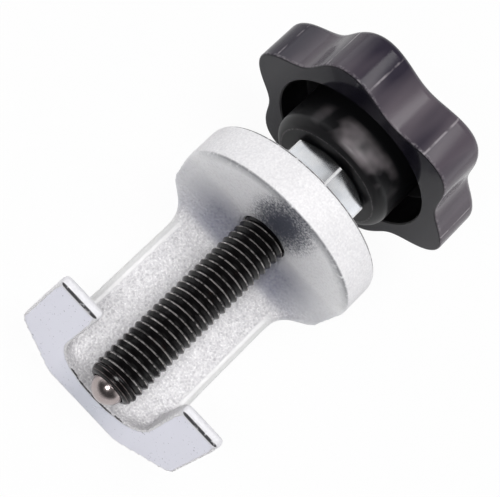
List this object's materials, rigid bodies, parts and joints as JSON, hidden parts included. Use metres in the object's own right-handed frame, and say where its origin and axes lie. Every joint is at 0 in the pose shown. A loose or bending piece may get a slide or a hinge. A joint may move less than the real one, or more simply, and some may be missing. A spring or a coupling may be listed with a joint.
{
  "type": "ball joint separator",
  "caption": "Hand-screw puller: C-shaped casting with a forked wedge foot, ball-tipped forcing screw, lock nut and star knob, pressing tapered joints apart.",
  "frame": {"origin": "under the middle of the tool's bounding box, on the plane that the knob's two lowest lobes touch when the tool lies on its back", "axes": "+Y along the screw axis from the jaws to the knob, +Z from the web's back towards the open throat, +X across the jaws"},
  "size_m": [0.0494, 0.0776, 0.0445],
  "materials": {
    "zinc_plated_casting": "bright zinc plate over a blasted casting",
    "black_oxide_steel": "black oxide, oiled",
    "bright_ball_steel": "polished hardened steel",
    "zinc_plated_nut": "bright zinc plate",
    "black_moulded_plastic": "moulded, satin gloss",
    "brass": "turned"
  },
  "bodies": {
    "body": {"puller_body": "zinc_plated_casting"},
    "ball": {"thrust_ball": "bright_ball_steel"},
    "screw_set": {"forcing_screw": "black_oxide_steel", "jam_nut": "zinc_plated_nut", "star_knob": "black_moulded_plastic", "knob_bush": "brass"}
  },
  "joints": [
    {"name": "screw_feed", "type": "slide", "parent": "body", "child": "ball", "axis": [0, 1, 0], "range_m": [-0.0008, 0.0361]},
    {"name": "screw_turn", "type": "hinge", "parent": "ball", "child": "screw_set", "pos_m": [0, 0.00817, 0.02223], "axis": [0, 1, 0], "range_deg": [-180, 8640]}
  ],
  "couplings": [
    {"joint": "screw_feed", "follows": "screw_turn", "m_per_rad": 0.00023873}
  ]
}
